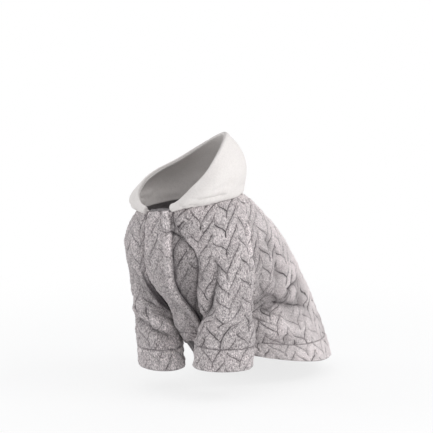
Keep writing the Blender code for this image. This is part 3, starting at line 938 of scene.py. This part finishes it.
plush = {  # noises are scale, detail, roughness and distortion; bumps are strength and distance
    "light": (0.88, 0.821, 0.819, 1), "dark": (0.23, 0.211, 0.214, 1), "smooth": (0.69, 0.64, 0.639, 1),
    "rosy": (1.015, 0.99, 0.99, 1), "plain": (1.0, 0.988, 0.985, 1), "line": (0.052, 0.042, 0.047, 1),
    "strands": (1150, 2.0, 0.65, 0.9), "strandStretch": 0.45, "strandSpan": (0.38, 0.64), "strandShare": 0.72,
    "curl": (420, 2.0, 0.6, 0.8), "curlSpan": (0.36, 0.66),
    "patches": (30, 2.0, 0.5), "patchSpan": (0.3, 0.7, 0.88, 1.06),
    "rosiness": (55, 2.0, 0.5, 0.5), "rosySpan": (0.42, 0.66),
    "rearShareByHeight": 0.35, "rearShareSpan": (-0.09, 0.05),
    "lineWidth": (90, 1.0, 0.5), "widthSpan": (0.35, 0.65, 0.187, 0.425), "lineSoft": 0.38,
    "lineGaps": (140, 1.0, 0.5), "gapSpan": (0.3, 0.5, 0.6, 1.0), "lineShare": 0.82,
    "seamAndShadeShare": 0.5, "seamAndShadeMost": 0.9, "leafVary": 0.12, "leafShade": 0.2, "shadeSpan": (3.2, 0.6),
    "backing": (0.42, 0.395, 0.40, 1), "backingDark": (0.30, 0.28, 0.285, 1),
    "knitScale": 260.0, "knitSway": 0.6, "knitShare": 0.6,
    "lineBump": (0.45, 0.0007), "strandBump": (0.9, 0.0011), "curlBump": (0.8, 0.0016),
    "roughness": 0.92, "specular": 0.1,
    "sheen": 0.25, "sheenRoughness": 0.4, "sheenTint": (0.97, 0.93, 0.94, 1),
}


def braidLine(n, place, column, row, press):  # how dark the pressed line is, and how far the nearest line is
    fromValley = n.maths("PINGPONG", column, 1.0)
    leftOfValley = n.maths("FLOORED_MODULO", n.maths("FLOOR", column), 2.0)
    lean = n.maths("MULTIPLY_ADD", leftOfValley, braidLean["slight"] - braidLean["steep"], braidLean["steep"])
    toChevron = n.maths("MULTIPLY", n.maths("MULTIPLY", n.maths("PINGPONG", row, 0.5), braid["pitch"]), lean)
    stemEnd = n.span(n.maths("FRACT", row), *braid["lineStem"], 0.0, braid["stemFade"])
    toValley = n.maths("MULTIPLY_ADD", fromValley, braid["leafWidth"], stemEnd)
    nearest = n.maths("MINIMUM", toChevron, toValley)
    wide = n.span(n.noise(place, *plush["lineWidth"]), *plush["widthSpan"])
    line = n.span(n.maths("SUBTRACT", nearest, wide), plush["lineSoft"], 0.0)
    kept = n.span(n.noise(place, *plush["lineGaps"]), *plush["gapSpan"])
    return n.maths("MULTIPLY", n.maths("MULTIPLY", line, kept), press), nearest


def leafToneAndShade(n, place, column, row, nearest, press):  # random from leaf to leaf and patch to patch, with painted shade beside the lines and the piece's painted light and shade
    leaf = n.add("TexWhiteNoise", {"noise_dimensions": "2D"})
    cell = n.add("CombineXYZ", X=n.maths("FLOOR", column), Y=n.maths("FLOOR", row))
    n.plug(leaf.inputs["Vector"], cell.outputs[0])
    toneAndShade = n.maths("MULTIPLY_ADD", n.maths("SUBTRACT", leaf.outputs["Value"], 0.5), plush["leafVary"], 1.0)
    toneAndShade = n.maths("MULTIPLY", toneAndShade, n.span(n.noise(place, *plush["patches"]), *plush["patchSpan"]))
    shade = n.span(nearest, *plush["shadeSpan"])
    shade = n.maths("MULTIPLY", shade, n.maths("MULTIPLY", press, plush["leafShade"]))
    toneAndShade = n.maths("MULTIPLY", toneAndShade, n.maths("SUBTRACT", 1.0, shade))
    return n.maths("MULTIPLY", toneAndShade, n.mark("tone"))


def plushMaterial():
    n = Nodes(bpy.data.materials.new("greyPlush"))
    place = n.add("TexCoord").outputs["Object"]
    cloth = n.add("UVMap", {"uv_map": "cloth"}).outputs["UV"]
    column, row, press = (n.mark(name) for name in ("place", "row", "press"))
    strands = n.add("Mapping", Vector=cloth, Scale=(1.0, plush["strandStretch"], 1.0)).outputs["Vector"]
    fine = n.noise(strands, *plush["strands"])
    curl = n.noise(place, *plush["curl"])
    line, nearest = braidLine(n, place, column, row, press)
    speck = n.maths("ADD", n.maths("MULTIPLY", n.span(fine, *plush["strandSpan"]), plush["strandShare"]),
                    n.maths("MULTIPLY", n.span(curl, *plush["curlSpan"]), 1 - plush["strandShare"]))
    away = n.add("SeparateXYZ", Vector=place)  # the dark specks turn paler towards the rear and the top
    rearward = n.maths("MULTIPLY_ADD", away.outputs["Z"], plush["rearShareByHeight"], away.outputs["Y"])
    rearAndTopShare = n.span(rearward, *plush["rearShareSpan"])
    face = n.mix(speck, n.mix(rearAndTopShare, plush["dark"], plush["smooth"]), plush["light"])
    # random leaf tone times painted shade beside the lines and the piece's painted light and shade
    toneAndShade = leafToneAndShade(n, place, column, row, nearest, press)
    toneAndShadeColour = n.add("CombineColor", Red=toneAndShade, Green=toneAndShade, Blue=toneAndShade)
    face = n.mix(1.0, face, toneAndShadeColour.outputs[0], "MULTIPLY")
    rosiness = n.span(n.noise(place, *plush["rosiness"]), *plush["rosySpan"])
    face = n.mix(1.0, face, n.mix(rosiness, plush["plain"], plush["rosy"]), "MULTIPLY")
    # the seam mark holds the dark stitches and the painted shade of shut creases and crevices; both take the line
    # colour
    seam = n.maths("MINIMUM", n.maths("MULTIPLY", n.mark("seam"), plush["seamAndShadeShare"]), plush["seamAndShadeMost"])
    dark = n.maths("MAXIMUM", n.maths("MULTIPLY", line, plush["lineShare"]), seam)
    face = n.mix(dark, face, plush["line"])
    knit = n.add("TexWave", {"wave_type": "BANDS", "bands_direction": "X"}, Vector=cloth,
                 Scale=plush["knitScale"], Distortion=plush["knitSway"])
    rib = n.maths("MULTIPLY", knit.outputs["Fac"], plush["knitShare"])
    back = n.mix(rib, plush["backing"], plush["backingDark"])
    pressed = n.bump(n.maths("SUBTRACT", 1.0, line), *plush["lineBump"])
    nap = n.bump(curl, *plush["curlBump"], n.bump(fine, *plush["strandBump"], pressed))
    n.plug(n.shader.inputs["Sheen Tint"], plush["sheenTint"])
    return n.finish(n.mix(n.mark("backing"), face, back), nap, plush)


fleece = {
    "light": (0.765, 0.731, 0.709, 1), "dark": (0.68, 0.648, 0.626, 1), "seam": (0.31, 0.285, 0.275, 1),
    "seamAndShadeShare": 0.5, "strands": (620, 2.0, 0.6), "strandSpan": (0.3, 0.62), "strandShare": 0.5,
    "patches": (45, 2.0, 0.5), "strandBump": (0.25, 0.0007), "patchBump": (0.3, 0.003),
    "roughness": 0.95, "specular": 0.1, "sheen": 0.15, "sheenRoughness": 0.5,
}


def fleeceMaterial():
    n = Nodes(bpy.data.materials.new("whiteFleece"))
    place = n.add("TexCoord").outputs["Object"]
    fine = n.noise(place, *fleece["strands"])
    soft = n.noise(place, *fleece["patches"])
    uneven = n.maths("ADD", n.maths("MULTIPLY", n.span(fine, *fleece["strandSpan"]), fleece["strandShare"]),
                     n.maths("MULTIPLY", soft, 1 - fleece["strandShare"]))
    face = n.mix(uneven, fleece["dark"], fleece["light"])
    # the seam mark holds the dark stitches and the painted shade of the hood's shut creases
    seam = n.maths("MULTIPLY", n.mark("seam"), fleece["seamAndShadeShare"])
    nap = n.bump(soft, *fleece["patchBump"], n.bump(fine, *fleece["strandBump"]))
    return n.finish(n.mix(seam, face, fleece["seam"]), nap, fleece)


greyPlush = plushMaterial()
whiteFleece = fleeceMaterial()
print("materials made", flush=True)

plushCloth = {"slot": "grey_plush", "thickness": clothThickness, "restsOn": ()}
fleeceCloth = {"slot": "white_fleece", "thickness": fleeceThickness, "restsOn": ()}
# each piece's pair of top and bottom lightness is painted light and shade: darker low on the back and over the
# chest, lighter on the hem
panelSettings = {
    "back": {"size": (300, 214), "flat": (0.416, 0.222), "area": 0.056, "anchor": 0.5, "seed": 11,
             "tone": (1.08, 0.92), "shift": (-33.0, 10.0), "grainFromSeams": True,
             "sinks": ((0, 0.05, 0.45, 0.9, 2.8, 7.0), (1, 0.05, 0.45, 0.9, 2.8, 7.0)),
             "crevices": ((0.0, 0.04, 0.5, 1.0, 1.4, 1.5), (1.0, 0.04, 0.5, 1.0, 1.4, 1.5))},
    "frontLeft": {"size": (66, 128), "flat": (0.060, 0.180), "area": 0.0052, "anchor": 0.5, "seed": 21,
                  "tone": (0.76, 0.38), "shift": (0.0, 10.0), "emboss": 1.0,
                  "sinks": ((1, 0.2, 0.45, 0.8, 1.6, 5.0),), "crevices": ((0.5, 0.0, 0.75, 1.6, 2.6, 2.4),)},
    "frontRight": {"size": (66, 128), "flat": (0.083, 0.180), "area": 0.0066, "anchor": 1.0, "seed": 31,
                   "tone": (1.14, 0.72), "shift": (0.0, 10.0), "emboss": 0.55,
                   "sinks": ((0, 0.5, 0.78, 1.0, 3.2, 5.0),), "crevices": ((0.0, 0.4, 0.85, 1.3, 2.4, 3.4),)},
    "hemBack": {"size": (400, 30), "flat": (0.412, 0.030), "area": 0.0092, "anchor": 0.5, "seed": 41,
                "tone": (1.04, 1.04), "shift": (9.0, 6.0)},
    "hemFrontLeft": {"size": (66, 22), "flat": (0.070, 0.024), "area": 0.0008, "anchor": 0.5, "seed": 51,
                     "shift": (9.0, 6.0)},
    "hemFrontRight": {"size": (90, 22), "flat": (0.095, 0.026), "area": 0.0011, "anchor": 1.0, "seed": 61,
                      "shift": (9.0, 6.0), "emboss": 0.6},
}
panelLines = {
    "back": (((1, "back"), (-1, "back")), (1,), None),
    "frontLeft": (((-1, "under"), (1, "lap"), (1, "front")), (1, 1), None),
    "frontRight": (((-1, "front"), (-1, "under"), (1, "lap")), (1, 1), lapLift),
}
panelEdges = {"back": ("sewn", "sewn"), "frontLeft": ("free", "sewn"), "frontRight": ("sewn", "lap")}
nodeNames = {"back": "back", "frontLeft": "front_left", "frontRight": "front_right"}
for key, (lines, shares, lift) in panelLines.items():
    for band, name in (("body", key), ("hem", "hem" + key[0].upper() + key[1:])):
        node = nodeNames[key] if band == "body" else "hem_" + nodeNames[key]
        topAndBottom = ("neck", "band") if band == "body" else ("band", "free")
        settings = {**plushCloth, **panelSettings[name], "node": node, "edges": (*panelEdges[key], *topAndBottom)}
        panel(name, lines, shares, band, lift, settings)
print("body made", flush=True)

sleeveCut = {**plushCloth, "size": (150, 165), "flat": (0.153, 0.179), "area": 0.0158,
             "edges": ("sewn", "ridge", "neck", "band"), "shift": (0.0, 4.7)}
sleeveSettings = {
    "left": {**sleeveCut, "seed": 71, "anchor": 0.36, "emboss": 1.0, "sinks": ((0, 0.2, 0.45, 0.8, 1.6, 5.0),),
             "valley": ((0.0, 0.70), (0.16, 0.605), (0.31, 0.435), (0.42, 0.395), (0.58, 0.38),
                        (0.70, 0.358), (0.80, 0.37), (0.95, 0.393), (1.0, 0.395))},
    "right": {**sleeveCut, "seed": 81, "anchor": 0.4, "emboss": 0.85, "sinks": ((0, 0.5, 0.78, 1.0, 3.2, 5.0),),
              "crevices": ((0.0, 0.35, 0.62, 1.0, 3.0, 3.0), (0.05, 0.3, 0.6, 0.88, 2.2, 2.6)),
              "valley": ((0.0, 0.05), (1.0, 0.09))},
}
cuffCut = {**plushCloth, "size": (156, 26), "flat": (0.160, 0.027), "area": 0.0042,
           "edges": ("sewn", "sewn", "band", "free"), "shift": (0.0, 7.0), "emboss": 0.8}
# the cuffs' lightness pairs are painted light, lighter where light from the floor would reach them
cuffSettings = {
    "left": {**cuffCut, "seed": 71, "anchor": 0.36, "tone": (1.08, 1.08)},
    "right": {**cuffCut, "seed": 81, "anchor": 0.4, "tone": (1.18, 1.18)},
}
hoodCut = {**fleeceCloth, "size": (150, 58), "flat": (0.166, 0.070), "area": 0.0072,
           "edges": ("rim", "sewn", "rim", "neck"), "shift": (0.0, 0.0), "anchor": 0.5}
hoodSettings = {"left": {**hoodCut, "seed": 71}, "right": {**hoodCut, "seed": 81}}
for word, side in (("left", 1), ("right", -1)):
    sleeve(word, side, {**sleeveSettings[word], "node": "sleeve_" + word})
    cuff(word, side, {**cuffSettings[word], "node": "cuff_" + word})
    hood(word, side, {**hoodSettings[word], "node": "hood_" + word})
print("sleeves and hood made", flush=True)


stage = {"floorSize": 6.0, "floorGap": 0.0015, "floorColour": (0.90, 0.90, 0.90, 1), "floorRoughness": 0.9,
         "glowSpan": (0.2, 0.6, 0.78, 1.0), "skyColour": (0.97, 0.98, 1.0, 1), "skyStrength": 0.74}


def stageFloor():
    slab = bmesh.new()
    bmesh.ops.create_grid(slab, x_segments=1, y_segments=1, size=stage["floorSize"])
    mesh = bpy.data.meshes.new("floor")
    slab.to_mesh(mesh)
    slab.free()
    floor = addObject("floor", mesh)
    floor.location.z = packedLow[2] - stage["floorGap"]
    n = Nodes(bpy.data.materials.new("floorWhite"))
    n.plug(n.shader.inputs["Base Color"], stage["floorColour"])
    n.plug(n.shader.inputs["Roughness"], stage["floorRoughness"])
    n.plug(n.shader.inputs["Specular IOR Level"], 0.0)
    glow = n.add("Emission", Color=(1, 1, 1, 1), Strength=1.0)
    seen = n.add("LightPath")
    rays = n.maths("MAXIMUM", seen.outputs["Is Camera Ray"], seen.outputs["Is Glossy Ray"])
    rays = n.maths("MAXIMUM", rays, seen.outputs["Is Transmission Ray"])
    away = n.add("VectorMath", {"operation": "LENGTH"})
    n.plug(away.inputs[0], n.add("TexCoord").outputs["Object"])
    far = n.span(away.outputs["Value"], *stage["glowSpan"])
    n.blend(n.maths("MULTIPLY", rays, far), glow, "Material Output")
    mesh.materials.append(n.owner)


def lamp(name, place, target, size, power):
    light = bpy.data.lights.new(name, "AREA")
    light.shape = "DISK"
    light.size = size
    light.energy = power
    holder = addObject(name, light)
    holder.location = place
    holder.rotation_euler = (Vector(target) - Vector(place)).to_track_quat("-Z", "Y").to_euler()


def worldLight():
    n = Nodes(bpy.data.worlds.new("softWorld"), "Background")
    bpy.context.scene.world = n.owner
    n.plug(n.shader.inputs["Color"], stage["skyColour"])
    n.plug(n.shader.inputs["Strength"], stage["skyStrength"])
    seen = n.add("LightPath")
    rays = n.maths("MAXIMUM", seen.outputs["Is Camera Ray"], seen.outputs["Is Glossy Ray"])
    n.blend(rays, n.add("Background"), "World Output")


view = {"azimuth": 37.5, "elevation": 10, "aside": 0.027, "height": 0.1715, "lens": 200, "distance": 2.4}


def camera():
    azimuth = math.radians(view["azimuth"])
    elevation = math.radians(view["elevation"])
    towards = Vector((math.sin(azimuth) * math.cos(elevation), -math.cos(azimuth) * math.cos(elevation),
                      math.sin(elevation)))
    right = Vector((math.cos(azimuth), math.sin(azimuth), 0))
    target = right * view["aside"] + Vector((0, -withers[1] * mm, view["height"] - withers[2] * mm))
    data = bpy.data.cameras.new("camera")
    data.lens = view["lens"]
    holder = addObject("camera", data)
    holder.location = target + towards * view["distance"]
    holder.rotation_euler = (-towards).to_track_quat("-Z", "Y").to_euler()
    bpy.context.scene.camera = holder


stageFloor()
worldLight()
lamp("keyLight", (1.55, 0.4, 1.5), (0, 0, -0.05), size=1.1, power=11.5)
lamp("lowLight", (1.7, -0.1, 0.2), (0, 0, -0.1), size=0.9, power=7.5)
lamp("fillLight", (-1.7, -0.9, 0.5), (0, 0, -0.05), size=1.2, power=8)
lamp("frontLight", (0.9, -1.6, 1.3), (0, -0.06, 0.04), size=0.8, power=1.5)
camera()
print("stage made", flush=True)
bpy.context.scene.view_settings.view_transform = "Standard"
